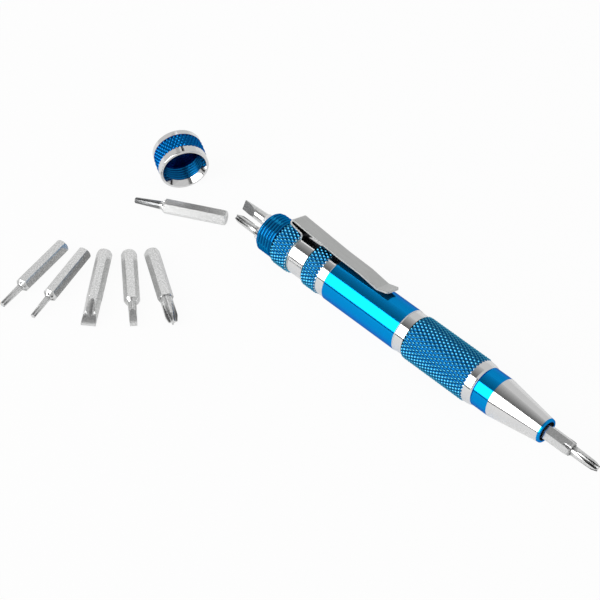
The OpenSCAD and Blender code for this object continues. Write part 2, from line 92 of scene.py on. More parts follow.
# Closed ends keep a pinhole in their middle, and points nearer than SAME_POINT are one point.
PINHOLE_R, SAME_POINT = 0.01, 1e-6


# Materials

def linear(hex_colour):
    """An sRGB hex colour as linear RGBA."""
    parts = [int(hex_colour[i:i + 2], 16) / 255 for i in (1, 3, 5)]
    return [p / 12.92 if p <= 0.04045 else ((p + 0.055) / 1.055) ** 2.4 for p in parts] + [1.0]


def add(tree, kind, inputs=None, **settings):
    """Adds a node with its settings, and links or fills its inputs."""
    node = tree.nodes.new(kind)
    for name, value in settings.items():
        setattr(node, name, value)
    for socket, value in (inputs or {}).items():
        if isinstance(value, bpy.types.NodeSocket):
            tree.links.new(value, node.inputs[socket])
        else:
            node.inputs[socket].default_value = value
    return node


def new_material(name):
    """An empty node material and its tree."""
    material = bpy.data.materials.new(name)
    material.use_nodes = True
    material.node_tree.nodes.clear()
    return material, material.node_tree


def surface_marks(tree, along, across, detail):
    """Uneven marks on the surface, so many to a millimetre along the driver and across it."""
    place = add(tree, "ShaderNodeTexCoord")
    stretched = add(tree, "ShaderNodeMapping", {
        "Vector": place.outputs["Object"],
        "Scale": (along * PER_MM, across * PER_MM, across * PER_MM)})
    noise = add(tree, "ShaderNodeTexNoise", {
        "Vector": stretched.outputs[0], "Scale": 1.0, "Detail": detail})
    return noise.outputs[0]


def anodised_aluminium(name, shade, deep, edge, roughness):
    """Dyed anodised aluminium: a clear mirror-like blue metal with faint lengthwise draw lines. The
    dye layer scatters a little light, and it is crossed at a slant near the outline, so shade and
    edges stay blue."""
    material, tree = new_material(name)
    # Draw lines about 0.05 mm apart on the real tube, drawn here at 0.4 mm so that they show
    lines = surface_marks(tree, along=0.04, across=2.5, detail=2.0)
    tint = add(tree, "ShaderNodeMix", {"Factor": lines, "A": linear(deep), "B": linear(shade)},
               data_type="RGBA")
    polish = add(tree, "ShaderNodeMapRange", {
        "Value": lines, "To Min": roughness * 0.85, "To Max": roughness * 1.15})
    shader = add(tree, "ShaderNodeBsdfPrincipled", {
        "Base Color": tint.outputs["Result"], "Roughness": polish.outputs[0], "Metallic": 0.9,
        "Specular Tint": linear(edge)})
    add(tree, "ShaderNodeOutputMaterial", {"Surface": shader.outputs[0]})
    return material


def knurled_aluminium(name, crest, groove, roughness):
    """Dyed anodised aluminium over a rolled knurl or a cut thread, with painted light: the crests
    are painted pale as a painted highlight and the grooves keep a navy painted shade, so the eye
    sees light dots or lines on navy."""
    material, tree = new_material(name)
    # Pointiness marks the crests for the painted highlight and the grooves for the painted shade
    form = add(tree, "ShaderNodeNewGeometry")
    height = add(tree, "ShaderNodeMapRange", {
        "Value": form.outputs["Pointiness"], "From Min": 0.48, "From Max": 0.6})
    # Painted highlight and painted shade made uneven at random over about 3 mm
    patch_noise = surface_marks(tree, along=0.33, across=0.33, detail=1.0)
    patchy_mix = add(tree, "ShaderNodeMapRange", {"Value": patch_noise, "To Min": 0.85, "To Max": 1.1})
    share = add(tree, "ShaderNodeMath", {0: height.outputs[0], 1: patchy_mix.outputs[0]},
                operation="MULTIPLY", use_clamp=True)
    tint = add(tree, "ShaderNodeMix", {
        "Factor": share.outputs[0], "A": linear(groove), "B": linear(crest)}, data_type="RGBA")
    shader = add(tree, "ShaderNodeBsdfPrincipled", {
        "Base Color": tint.outputs["Result"], "Roughness": roughness, "Metallic": 1.0,
        "Specular Tint": linear(crest)})
    add(tree, "ShaderNodeOutputMaterial", {"Surface": shader.outputs[0]})
    return material


def turned_aluminium(name, shade, deep):
    """Bare aluminium faced with a sharp tool after anodising: bright, nearly a mirror, with fine
    rings round it."""
    material, tree = new_material(name)
    # Tool rings about 0.05 mm apart on the real piece, drawn here at 0.3 mm so that they show
    rings = surface_marks(tree, along=3.3, across=0.06, detail=2.0)
    tint = add(tree, "ShaderNodeMix", {"Factor": rings, "A": linear(deep), "B": linear(shade)},
               data_type="RGBA")
    polish = add(tree, "ShaderNodeMapRange", {"Value": rings, "To Min": 0.07, "To Max": 0.13})
    bump = add(tree, "ShaderNodeBump", {
        "Height": rings, "Strength": 0.04, "Distance": 0.05 * MM})
    shader = add(tree, "ShaderNodeBsdfPrincipled", {
        "Base Color": tint.outputs["Result"], "Roughness": polish.outputs[0], "Metallic": 1.0,
        "Normal": bump.outputs[0]})
    add(tree, "ShaderNodeOutputMaterial", {"Surface": shader.outputs[0]})
    return material


def brushed_spring_steel(name, shade, deep):
    """Cold-rolled spring strip with a lengthwise brushed finish: a flat even grey with thin lighter
    scratches."""
    material, tree = new_material(name)
    # Brush lines about 0.05 mm wide on the real strip, drawn here at 0.3 mm so that they show
    lines = surface_marks(tree, along=0.06, across=3.2, detail=3.0)
    tint = add(tree, "ShaderNodeMix", {"Factor": lines, "A": linear(deep), "B": linear(shade)},
               data_type="RGBA")
    polish = add(tree, "ShaderNodeMapRange", {"Value": lines, "To Min": 0.26, "To Max": 0.4})
    bump = add(tree, "ShaderNodeBump", {
        "Height": lines, "Strength": 0.12, "Distance": 0.05 * MM})
    shader = add(tree, "ShaderNodeBsdfPrincipled", {
        "Base Color": tint.outputs["Result"], "Roughness": polish.outputs[0], "Metallic": 1.0,
        "Normal": bump.outputs[0]})
    add(tree, "ShaderNodeOutputMaterial", {"Surface": shader.outputs[0]})
    return material


def shaded_underside_steel(name, shade, deep):
    """Inner side of the spring strip, painted a dull blue-black as painted shade under the clip,
    with faint clouds."""
    material, tree = new_material(name)
    # Clouds about 1.4 mm across
    clouds = surface_marks(tree, along=0.7, across=0.7, detail=2.0)
    tint = add(tree, "ShaderNodeMix", {"Factor": clouds, "A": linear(deep), "B": linear(shade)},
               data_type="RGBA")
    shader = add(tree, "ShaderNodeBsdfPrincipled", {
        "Base Color": tint.outputs["Result"], "Roughness": 0.4, "Metallic": 1.0})
    add(tree, "ShaderNodeOutputMaterial", {"Surface": shader.outputs[0]})
    return material


def satin_nickel_steel(name, shade, deep, shade_below=None):
    """Hardened tool steel with a satin plate: softly shining, with a fine grain. On the tips,
    painted shade darkens flutes and inner corners to near black where less than the given share of
    the sky is open."""
    material, tree = new_material(name)
    # Blast grain of about 0.05 mm, drawn here at 0.4 mm so that it shows
    grain = surface_marks(tree, along=2.5, across=2.5, detail=3.0)
    mottle = add(tree, "ShaderNodeMapRange", {"Value": grain, "From Min": 0.3, "From Max": 0.7})
    tint = add(tree, "ShaderNodeMix", {
        "Factor": mottle.outputs[0], "A": linear(deep), "B": linear(shade)}, data_type="RGBA")
    if shade_below:
        # Painted shade: near black where little of the sky within 1.5 mm is open
        open_sky = add(tree, "ShaderNodeAmbientOcclusion", {"Distance": 1.5 * MM}, samples=8,
                       only_local=True)
        unshaded = add(tree, "ShaderNodeMapRange", {
            "Value": open_sky.outputs["AO"], "From Min": shade_below})
        tint = add(tree, "ShaderNodeMix", {
            "Factor": unshaded.outputs[0], "A": linear("#161616"), "B": tint.outputs["Result"]},
            data_type="RGBA")
    polish = add(tree, "ShaderNodeMapRange", {"Value": grain, "To Min": 0.17, "To Max": 0.27})
    bump = add(tree, "ShaderNodeBump", {
        "Height": grain, "Strength": 0.1, "Distance": 0.05 * MM})
    shader = add(tree, "ShaderNodeBsdfPrincipled", {
        "Base Color": tint.outputs["Result"], "Roughness": polish.outputs[0], "Metallic": 1.0,
        "Normal": bump.outputs[0]})
    add(tree, "ShaderNodeOutputMaterial", {"Surface": shader.outputs[0]})
    return material


def shaded_socket_finish(name, shade, deep):
    """Broached socket wall painted a dull near black as painted shade inside the hole, with a hint
    of streaks from the broach."""
    material, tree = new_material(name)
    # Broach streaks about 0.1 mm apart on the real wall, drawn here at 0.4 mm so that they show
    lines = surface_marks(tree, along=0.06, across=2.5, detail=2.0)
    tint = add(tree, "ShaderNodeMix", {"Factor": lines, "A": linear(deep), "B": linear(shade)},
               data_type="RGBA")
    shader = add(tree, "ShaderNodeBsdfPrincipled", {
        "Base Color": tint.outputs["Result"], "Roughness": 0.6})
    add(tree, "ShaderNodeOutputMaterial", {"Surface": shader.outputs[0]})
    return material


drawn_blue = anodised_aluminium(
    "anodised_blue_aluminium", "#089eea", "#0896e4", edge="#3a9ad0", roughness=0.11)
# Painted highlight on the crests and painted shade in the grooves of the thread and the knurls
threaded_blue = knurled_aluminium(
    "cut_thread_blue_aluminium", crest="#1ca2e0", groove="#075490", roughness=0.2)
knurled_blue = knurled_aluminium(
    "knurled_blue_aluminium", crest="#68d0ee", groove="#085892", roughness=0.2)
knurled_deep_blue = knurled_aluminium(
    "knurled_deep_blue_aluminium", crest="#1c8cd6", groove="#0668ae", roughness=0.25)
bright = turned_aluminium("bright_turned_aluminium", "#f5f5f5", "#ececec")
spring = brushed_spring_steel("brushed_spring_steel", "#d8d9d8", "#c4c5c4")
# Painted shade for the underside of the clip
underside_shade = shaded_underside_steel("shaded_underside_steel", "#3a3c40", "#24262a")
tool_steel = satin_nickel_steel("satin_nickel_tool_steel", "#f6f6f6", "#e2e3e2")
blasted_steel = satin_nickel_steel("blasted_nickel_tool_steel", "#fcfcfc", "#c8c9c8")
# Painted shade in the flutes and inner corners of the tips
fluted_steel = satin_nickel_steel(
    "satin_nickel_fluted_steel", "#fcfcfc", "#d2d3d2", shade_below=0.8)
cross_steel = satin_nickel_steel(
    "satin_nickel_cross_tip_steel", "#fcfcfc", "#d2d3d2", shade_below=0.9)
# Ground steel painted darker as painted shade, for the stored blade and the loose bit's tip
ground_and_shaded_steel = satin_nickel_steel("ground_and_shaded_tool_steel", "#9a9b9c", "#808182", shade_below=0.8)
# Painted shade for the wall of the bit mouth and the hex socket
socket_black = shaded_socket_finish("painted_shade_socket", "#1b1d20", "#0b0d10")


# Meshes of the turned pieces

class Skin:
    """Faces of one piece, gathered strip by strip, each with its finish."""

    def __init__(self, finishes):
        self.finishes = finishes
        self.points, self.faces, self.marks = [], [], []

    def strip(self, rows, finish, smooth=True, closed=True):
        """Skins neighbouring rows of points with one finish, or with finish(row, place) for each
        face. Where two rows meet, a face becomes a triangle or is left out."""
        base, count = len(self.points), len(rows[0])
        for row in rows:
            self.points.extend(row)
        for i in range(len(rows) - 1):
            for j in range(count if closed else count - 1):
                k = (j + 1) % count
                corners = [i * count + j, i * count + k]
                corners += [(i + 1) * count + place for place in (k, j)
                            if not touching(rows[i][place], rows[i + 1][place])]
                if len(corners) > 2:
                    given = finish(i, j) if callable(finish) else finish
                    self.faces.append([base + corner for corner in corners])
                    self.marks.append((self.finishes.index(given), smooth))

    def turned(self, points, finish, count=TURNED_STEPS):
        """A smooth turned surface through [station, radius] points."""
        self.strip([ring(x, r, count) for x, r in points], finish)

    def edge_run(self, points, finish):
        """Turned surfaces that meet at crisp edges."""
        for start, end in zip(points, points[1:]):
            self.turned([start, end], finish)

    def knurled(self, start, end, outline, cutter, finish, head, foot=None, around=KNURL_AROUND,
                head_finish=None):
        """A diamond knurl between two stations, under an outline that gives the crest radius at a
        station. What stands above the cutter's radius at a station is turned off bright. Flat
        walls join its start to the foot radius and its end to the head radius."""
        count = around * PITCH_STEPS
        step = KNURL_PITCH / PITCH_STEPS
        stations = [start + i * step for i in range(int((end - CUT_ZONE - start) / step) + 1)]
        zone_x, zone_len = stations[-1], end - stations[-1]
        finer = max(1, round(zone_len / (step / CUT_FINENESS)))
        stations += [zone_x + zone_len * (k + 1) / finer for k in range(finer)]
        rows, turned_off = [], []
        for x in stations:
            slant = (x - end) / KNURL_PITCH
            radii = [outline(x) - KNURL_DEPTH * (1 - pyramid(j / PITCH_STEPS + slant,
                                                             j / PITCH_STEPS - slant))
                     for j in range(count)]
            rows.append([on_circle(x, min(r, cutter(x)), j, count) for j, r in enumerate(radii)])
            turned_off.append([r > cutter(x) for r in radii])

        def face_finish(i, j):
            k = (j + 1) % count
            cut_corners = sum(turned_off[row][place] for row in (i, i + 1) for place in (j, k))
            return bright if cut_corners >= 3 else finish

        if foot:
            self.strip([ring(start, foot, count), rows[0]], finish, smooth=False)
        self.strip(rows, face_finish)
        self.strip([rows[-1], ring(end, head, count)], head_finish or finish, smooth=False)

    def threaded(self, start, end, root, crest, finish):
        """A helical thread between two stations, from its root radius to its crest radius. It fades
        over half a turn at both ends."""
        total = round(abs(end - start) / (THREAD_PITCH / PITCH_STEPS))
        rows = []
        for i in range(total + 1):
            x = start + (end - start) * i / total
            fade = min(1.0, min(abs(x - start), abs(end - x)) / (0.5 * THREAD_PITCH))
            row = []
            for j in range(THREAD_STEPS):
                wave = 1 - abs(2 * ((x / THREAD_PITCH - j / THREAD_STEPS) % 1) - 1)
                row.append(on_circle(x, root + (crest - root) * fade * wave, j, THREAD_STEPS))
            rows.append(row)
        self.strip(rows, finish)

    def made(self, name, lie=None):
        """The gathered faces as an object, laid down by a matrix if one is given."""
        mesh = bpy.data.meshes.new(name)
        move = lie or Matrix.Identity(4)
        mesh.from_pydata([move @ Vector(p) for p in self.points], [], self.faces)
        mesh.transform(Matrix.Scale(MM, 4))
        for finish in self.finishes:
            mesh.materials.append(finish)
        for face, (index, smooth) in zip(mesh.polygons, self.marks):
            face.material_index = index
            face.use_smooth = smooth
        thing = bpy.data.objects.new(name, mesh)
        bpy.context.scene.collection.objects.link(thing)
        return thing


def on_circle(x, r, step, count):
    """The point at a step of a circle round the X axis."""
    angle = 2 * math.pi * step / count
    return (x, r * math.cos(angle), r * math.sin(angle))


def ring(x, r, count):
    """Points of a circle round the X axis."""
    return [on_circle(x, r, j, count) for j in range(count)]


def touching(p, q):
    """Whether two points are the same."""
    return max(abs(a - b) for a, b in zip(p, q)) < SAME_POINT


def pyramid(a, b):
    """Height of the knurl from 0 in its grooves, at whole numbers of a or b, to 1 on the blunt
    crest of a pyramid."""
    from_groove = min(0.5 - abs(a % 1 - 0.5), 0.5 - abs(b % 1 - 0.5))
    return min(1.0, KNURL_STEEPNESS * from_groove)


def chamfer(end, radius, slope):
    """Radius of a cutter's cone that reaches the radius at its end station."""
    return lambda x: radius + slope * (end - x)


def sloped_start(full_x, radius):
    """Crest outline of a knurl that rises at 45 degrees until a station."""
    return lambda x: radius - max(0.0, full_x - x)


def rounded_start(start, radius):
    """Crest outline of a knurl whose first shoulder is rounded."""
    def outline(x):
        short = SHOULDER_R - (x - start)
        if short <= 0:
            return radius
        return radius - SHOULDER_R + math.sqrt(max(0.0, SHOULDER_R ** 2 - short ** 2))
    return outline


def arc(x, r, radius, first, last):
    """Profile points [station, radius] on an arc about a centre."""
    angles = [math.radians(first + (last - first) * k / ARC_STEPS) for k in range(ARC_STEPS + 1)]
    return [(x + radius * math.cos(a), r + radius * math.sin(a)) for a in angles]


def placed(thing, body, slot, *stands_for):
    """Rides the piece on its body and puts it in place of its solids."""
    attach(thing, body)
    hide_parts(*stands_for)


def tail_collar():
    """Open tail with its thread and first knurled ring."""
    skin = Skin([drawn_blue, threaded_blue, knurled_blue, bright])
    root = THREAD_R - THREAD_DEPTH
    shoulder_x, lead = KNURL_R - THREAD_R, 0.15
    knurl_x = shoulder_x - lead
    skin.edge_run([(RIM_X, STORE_R), (RIM_X, root - EDGE)], drawn_blue)
    skin.turned(arc(RIM_X + EDGE, root - EDGE, EDGE, 180, 90), drawn_blue)
    skin.threaded(RIM_X + EDGE, 0, root, THREAD_R, threaded_blue)
    skin.edge_run([(0, root), (knurl_x, KNURL_R - KNURL_DEPTH)], drawn_blue)
    skin.knurled(knurl_x, RING_X, sloped_start(shoulder_x + EDGE, KNURL_R),
                 chamfer(RING_X, KNURL_R - EDGE, slope=0.9), knurled_blue, head=SPIGOT_R)
    skin.edge_run([(RING_X, SPIGOT_R), (SPIGOT_END_X, SPIGOT_R), (SPIGOT_END_X, STORE_R),
                   (RIM_X, STORE_R)], drawn_blue)
    placed(skin.made("tail_collar_dressed"), "driver", "blue_aluminium", "thread_collar")


def neck_collar():
    """Bright neck, second knurled ring and bright band."""
    skin = Skin([bright, knurled_blue])
    rim = 0.12
    skin.edge_run([(NECK_X, SPIGOT_R), (NECK_X, NECK_R - rim), (NECK_X + rim, NECK_R),
                   (COLLAR_KNURL_X, NECK_R)], bright)
    skin.knurled(COLLAR_KNURL_X, COLLAR_BAND_X, rounded_start(COLLAR_KNURL_X, KNURL_R),
                 chamfer(COLLAR_BAND_X, BAND_R + rim, slope=0.5), knurled_blue, head=BAND_R,
                 foot=NECK_R)
    skin.edge_run([(COLLAR_BAND_X, BAND_R), (BARREL_X - rim, BAND_R), (BARREL_X, BAND_R - rim),
                   (BARREL_X, JOINT_R), (REAR_JOINT_X, JOINT_R), (REAR_JOINT_X, STORE_R),
                   (SPIGOT_END_X, STORE_R), (SPIGOT_END_X, SPIGOT_R), (NECK_X, SPIGOT_R)], bright)
    placed(skin.made("neck_collar_dressed"), "driver", "blue_aluminium", "rear_collar")


def plain_barrel():
    """Drawn blue tube with a small bright-cut edge at each end."""
    skin = Skin([drawn_blue, bright])
    rim = 0.15
    skin.edge_run([(BARREL_X, JOINT_R), (BARREL_X, BARREL_R - rim), (BARREL_X + rim, BARREL_R)],
                  bright)
    skin.turned([(BARREL_X + rim, BARREL_R), (GRIP_X - rim, BARREL_R)], drawn_blue, BARREL_STEPS)
    skin.edge_run([(GRIP_X - rim, BARREL_R), (GRIP_X, BARREL_R - rim), (GRIP_X, JOINT_R)], bright)
    skin.edge_run([(GRIP_X, JOINT_R), (FRONT_JOINT_X, JOINT_R), (FRONT_JOINT_X, STORE_R),
                   (REAR_JOINT_X, STORE_R), (REAR_JOINT_X, JOINT_R), (BARREL_X, JOINT_R)],
                  drawn_blue)
    placed(skin.made("barrel_dressed"), "driver", "blue_aluminium", "barrel")


def knurled_grip():
    """Knurled grip between a bright band and a bright rounded band."""
    skin = Skin([bright, knurled_blue])
    rim = 0.12
    fall = KNURL_R - EDGE - NOSE_BAND_R
    skin.edge_run([(FRONT_JOINT_X, STORE_R), (FRONT_JOINT_X, JOINT_R), (GRIP_X, JOINT_R),
                   (GRIP_X, BAND_R - rim), (GRIP_X + rim, BAND_R), (GRIP_KNURL_X, BAND_R)], bright)
    skin.knurled(GRIP_KNURL_X, FRONT_BAND_X, rounded_start(GRIP_KNURL_X, KNURL_R),
                 chamfer(FRONT_BAND_X, KNURL_R - EDGE, slope=0.45), knurled_blue,
                 head=NOSE_BAND_R + fall, foot=BAND_R)
    angles = [math.radians(90 * k / BAND_STEPS) for k in range(BAND_STEPS + 1)]
    skin.turned([(FRONT_BAND_X + FRONT_BAND_LEN * math.sin(a), NOSE_BAND_R + fall * math.cos(a))
                 for a in angles], bright)
    skin.edge_run([(NOSE_X, NOSE_BAND_R), (NOSE_X, STORE_R), (FRONT_JOINT_X, STORE_R)], bright)
    placed(skin.made("grip_dressed"), "driver", "blue_aluminium", "grip")


def hex_socket(skin):
    """Broached hex hole behind the bit mouth, down to the magnet."""
    mouth_x = NOSE_END_X - MOUTH_DEPTH
    end_x = NOSE_END_X + BIT_OUT - BIT_LEN - MAGNET_GAP
    flat_r = BIT_AF / 2 + SOCKET_GAP
    hex_ring = []
    for j in range(SOCKET_STEPS):
        angle = 2 * math.pi * j / SOCKET_STEPS
        off_corner = (angle - SOCKET_ROLL + math.pi / 2) % (math.pi / 3) - math.pi / 6
        reach = flat_r / math.cos(math.pi / 6 - abs(off_corner))
        hex_ring.append(on_circle(mouth_x, reach, j, SOCKET_STEPS))
    deep_ring = [(end_x, y, z) for _, y, z in hex_ring]
    rings = [ring(mouth_x, MOUTH_R, SOCKET_STEPS), hex_ring, deep_ring,
             ring(end_x, PINHOLE_R, SOCKET_STEPS)]
    # The socket walls are painted near black as painted shade
    for pair in zip(rings, rings[1:]):
        skin.strip(pair, socket_black, smooth=False)


def nose_cone():
    """Short blue band, bright cone and blue face round the bit mouth, with the hex socket."""
    skin = Skin([drawn_blue, bright, socket_black])
    plug_x, plug_r = NOSE_X - NOSE_PLUG_LEN, STORE_R - JOINT_GAP
    lip = 0.35
    slope = (NOSE_BAND_R - CONE_TIP_R) / (NOSE_END_X - EDGE - CONE_X)
    cone_end = (NOSE_END_X - EDGE - lip, CONE_TIP_R + slope * lip)
    skin.edge_run([(plug_x, PINHOLE_R), (plug_x, plug_r - EDGE), (plug_x + EDGE, plug_r),
                   (NOSE_X, plug_r)], bright)
    skin.edge_run([(NOSE_X, plug_r), (NOSE_X, NOSE_BAND_R - EDGE), (NOSE_X + EDGE, NOSE_BAND_R),
                   (CONE_X, NOSE_BAND_R)], drawn_blue)
    skin.turned([(CONE_X, NOSE_BAND_R), cone_end], bright)
    skin.turned([cone_end, (NOSE_END_X - EDGE, CONE_TIP_R)], drawn_blue)
    skin.turned(arc(NOSE_END_X - EDGE, CONE_TIP_R - EDGE, EDGE, 90, 0), drawn_blue)
    skin.turned([(NOSE_END_X, CONE_TIP_R - EDGE), (NOSE_END_X, MOUTH_R)], drawn_blue)
    # The mouth's wall is painted near black as painted shade
    skin.turned([(NOSE_END_X, MOUTH_R), (NOSE_END_X - MOUTH_DEPTH, MOUTH_R)], socket_black)
    hex_socket(skin)
    placed(skin.made("nose_dressed"), "driver", "blue_aluminium", "nose")


def screw_cap():
    """Knurled cap with a bright ring round its mouth and a bright closed end, threaded inside. Its
    mouth is at the origin before the cap is laid down."""
    skin = Skin([threaded_blue, knurled_deep_blue, bright])
    cap_r, ring_r, end_r, mouth_r, hole_r = 7.55, 7.35, 7.34, 6.6, 6.25
    ring_len, knurl_len, end_len, lead_len, floor_t, round_r = 2.3, 5.3, 2.0, 1.7, 2.0, 0.5
    behind_rim, aside, turn = 34.8, -0.8, math.radians(-28)
    crest_r = hole_r - CAP_THREAD_DEPTH
    end_x = -(ring_len + knurl_len + end_len)
    back, floor_x = -ring_len - knurl_len, end_x + floor_t
    skin.turned([(end_x, PINHOLE_R), (end_x, end_r - round_r)], bright)
    skin.turned(arc(end_x + round_r, end_r - round_r, round_r, 180, 90) + [(back, ring_r)], bright)
    skin.knurled(back, -ring_len, sloped_start(back + EDGE, cap_r),
                 chamfer(-ring_len, ring_r, slope=0.13), knurled_deep_blue, head=ring_r,
                 foot=ring_r, around=CAP_KNURL_AROUND, head_finish=bright)
    skin.turned([(-ring_len, ring_r), (-EDGE, ring_r)] + arc(-EDGE, ring_r - EDGE, EDGE, 90, 0),
                bright)
    skin.edge_run([(0, ring_r - EDGE), (0, mouth_r), (-lead_len, crest_r), (-lead_len, hole_r)],
                  bright)
    skin.threaded(-lead_len, floor_x, hole_r, crest_r, threaded_blue)
    skin.turned([(floor_x, hole_r), (floor_x, PINHOLE_R)], threaded_blue)
    place = Matrix.Translation((RIM_X - behind_rim, aside, FLOOR_Z + cap_r))
    lie = place @ Matrix.Rotation(turn, 4, "Z")
    placed(skin.made("screw_cap_dressed", lie), "cap", "blue_aluminium", "tail_cap")


# Spring clip: one bent strip, its middle line given as [station, height over the axis]

def bent(line, bends):
    """Middle-line points of a strip with rounded bends, each with the strip's direction there."""
    points = [(line[0], (line[1] - line[0]).normalized())]
    for before, corner, after, radius in zip(line, line[1:], line[2:], bends):
        into, out = (corner - before).normalized(), (after - corner).normalized()
        turn = math.atan2(into.x * out.y - into.y * out.x, into.dot(out))
        start = corner - into * radius * math.tan(abs(turn) / 2)
        side = Vector((-into.y, into.x)) * math.copysign(1, turn)
        centre = start + side * radius
        for k in range(BEND_STEPS + 1):
            spin = Matrix.Rotation(turn * k / BEND_STEPS, 2)
            points.append((centre + spin @ (start - centre), spin @ into))
    points.append((line[-1], (line[-1] - line[-2]).normalized()))
    return points


def spring_clip():
    """Washer ring, leg, fold, long strip and turned-up lip of the pocket clip."""
    skin = Skin([spring, underside_shade])
    width, thick, corner_r, edge_cut = 5.4, CLIP_T / 2, 0.8, 0.07
    roll = math.radians(21)
    fold_back, fold_lean, fold_r, bend_r, leg_rise = 4.9, 0.8, 0.6, 0.8, 0.95
    long_len, level_len, dip_len, lip_len = 19.0, 8.6, 6.8, 3.8
    level_fall, dip_fall, lip_rise = 0.25, 0.85, 1.0
    up = Vector((0, math.sin(roll), math.cos(roll)))
    across = Vector((0, math.cos(roll), -math.sin(roll)))

    def in_space(flat, aside=0.0):
        """A point of the strip's side view, moved aside, in the driver's frame."""
        return Vector((flat.x, 0, 0)) + up * flat.y + across * aside

    leg_h = KNURL_R + CLIP_GAP + thick
    fold_x = RING_X - fold_back
    fold_low = leg_h + leg_rise
    fold_high = fold_low + 2 * fold_r
    touch_h = BARREL_R + CLIP_GAP + thick
    level_x = fold_x + long_len
    dip_x = level_x + level_len
    touch_x = dip_x + dip_len
    path = bent([Vector(p) for p in (
        (RING_X + thick, SPIGOT_R), (RING_X + thick, leg_h), (fold_x, fold_low),
        (fold_x + fold_lean, fold_high), (level_x, touch_h + dip_fall + level_fall),
        (dip_x, touch_h + dip_fall), (touch_x, touch_h), (touch_x + lip_len, touch_h + lip_rise))],
        [fold_r] * 3 + [bend_r] * 3)

    # More rows in the lip, so that its corners can be rounded
    tip, lip_way = path.pop()
    lip_start = path[-1][0]
    straight = (tip - lip_start).length
    for share in (1.0, 0.6, 0.3, 0.12, 0.03, 0.0):
        path.append((lip_start + lip_way * (straight - corner_r * share), lip_way))

    rows = []
    for at, way in path:
        left = Vector((-way.y, way.x))
        to_tip = (tip - at).length
        short = corner_r - to_tip if to_tip < corner_r and at.x > touch_x else 0.0
        half = width / 2 - (corner_r - math.sqrt(max(0.0, corner_r ** 2 - short ** 2)))
        section = [(half - edge_cut, thick), (half, thick - edge_cut),
                   (half, -thick + edge_cut), (half - edge_cut, -thick),
                   (-half + edge_cut, -thick), (-half, -thick + edge_cut),
                   (-half, thick - edge_cut), (-half + edge_cut, thick)]
        rows.append([tuple(in_space(at + left * h, aside)) for aside, h in section])
    sides, inner_side = len(rows[0]), 3
    for k in range(sides):
        # The inner side, towards the driver, gets the painted shade
        skin.strip([[row[(k + 1) % sides], row[k]] for row in rows],
                   underside_shade if k == inner_side else spring, closed=False)
    for end_row in (rows[0], rows[-1][::-1]):
        skin.faces.append(range(len(skin.points), len(skin.points) + sides))
        skin.points.extend(end_row)
        skin.marks.append((skin.finishes.index(spring), False))
    bore_r = SPIGOT_R + JOINT_GAP
    skin.edge_run([(RING_X, bore_r), (RING_X, NECK_R), (NECK_X, NECK_R), (NECK_X, bore_r),
                   (RING_X, bore_r)], spring)
    clip = skin.made("spring_clip")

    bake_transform(clip)
    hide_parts("clip_foot", "clip_arm")


tail_collar()
neck_collar()
plain_barrel()
knurled_grip()
nose_cone()
screw_cap()
spring_clip()


# Finishes of the bits and the magnet, which keep their solids

def floor_way(degrees):
    """Direction on the floor at an angle from the driver's axis."""
    return Vector((math.cos(math.radians(degrees)), math.sin(math.radians(degrees)), 0))


def finish_tip(name, finish, degrees, length, face=None):
    """Gives the last millimetres of a bit the finish of its tip, where the angle is the tip's
    heading. With a face, only the flats that look about that way or the opposite way get it."""
    bit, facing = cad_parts[name], 0.8
    bit.data.materials.append(finish)
    along = [(bit.matrix_world @ v.co).dot(floor_way(degrees)) for v in bit.data.vertices]
    for polygon in bit.data.polygons:
        back = max(along) - sum(along[i] for i in polygon.vertices) / len(polygon.vertices)
        looks = abs((bit.matrix_world.to_3x3() @ polygon.normal).dot(face)) if face else 1.0
        if back < length * MM and looks > facing:
            polygon.material_index = 1


for name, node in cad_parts.items():
    if name.endswith("_bit") or name == "socket_magnet":
        node.data.materials.clear()
        node.data.materials.append(blasted_steel if name.startswith("fan_") else tool_steel)
blade_face = Vector((0, math.sin(BLADE_ROLL), math.cos(BLADE_ROLL)))
finish_tip("nose_bit", cross_steel, degrees=0, length=10.6)
# Painted shade: the stored blade's flats and the loose bit's tip get the darker ground steel
finish_tip("stored_slotted_bit", ground_and_shaded_steel, degrees=180, length=5.6, face=blade_face)
finish_tip("stored_phillips_bit", fluted_steel, degrees=180, length=10.6)
finish_tip("loose_star_bit", ground_and_shaded_steel, degrees=-150.5, length=8.0)
finish_tip("fan_large_star_bit", fluted_steel, degrees=-79, length=8.0)
finish_tip("fan_small_star_bit", fluted_steel, degrees=-73, length=8.0)
finish_tip("fan_wide_slotted_bit", fluted_steel, degrees=-51.5, length=8.0)
finish_tip("fan_phillips_bit", fluted_steel, degrees=-30, length=10.0)


# Studio, in metres. Angles are over the near horizon, seen along the driver.

STUDIO_R = 1.2
SOFTBOX_LOW, SOFTBOX_HIGH, OVERHEAD_END = 9.0, 61.0, 121.0
BLACK, WHITE = "#141414", "#ffffff"


def white_paper():
    """Seamless white paper: even white to the eye, with the object's soft shadow kept."""
    material, tree = new_material("seamless_white_paper")
    seen_white, mirrored_white = 0.95, 0.35
    rays = add(tree, "ShaderNodeLightPath")
    mirrored = add(tree, "ShaderNodeMath", {
        0: rays.outputs["Is Glossy Ray"], 1: rays.outputs["Is Transmission Ray"]},
        operation="MAXIMUM")
    dimmed = add(tree, "ShaderNodeMath", {0: mirrored.outputs[0], 1: mirrored_white},
                 operation="MULTIPLY")
    plain = add(tree, "ShaderNodeMath", {0: rays.outputs["Is Camera Ray"], 1: seen_white},
                operation="MULTIPLY")
    share = add(tree, "ShaderNodeMath", {0: plain.outputs[0], 1: dimmed.outputs[0]},
                operation="MAXIMUM")
    matt = add(tree, "ShaderNodeBsdfDiffuse", {"Color": linear("#dedede")})
    glow = add(tree, "ShaderNodeEmission", {"Color": linear(WHITE), "Strength": 1.0})
    mixed = add(tree, "ShaderNodeMixShader", {
        0: share.outputs[0], 1: matt.outputs[0], 2: glow.outputs[0]})
    add(tree, "ShaderNodeOutputMaterial", {"Surface": mixed.outputs[0]})
    return material


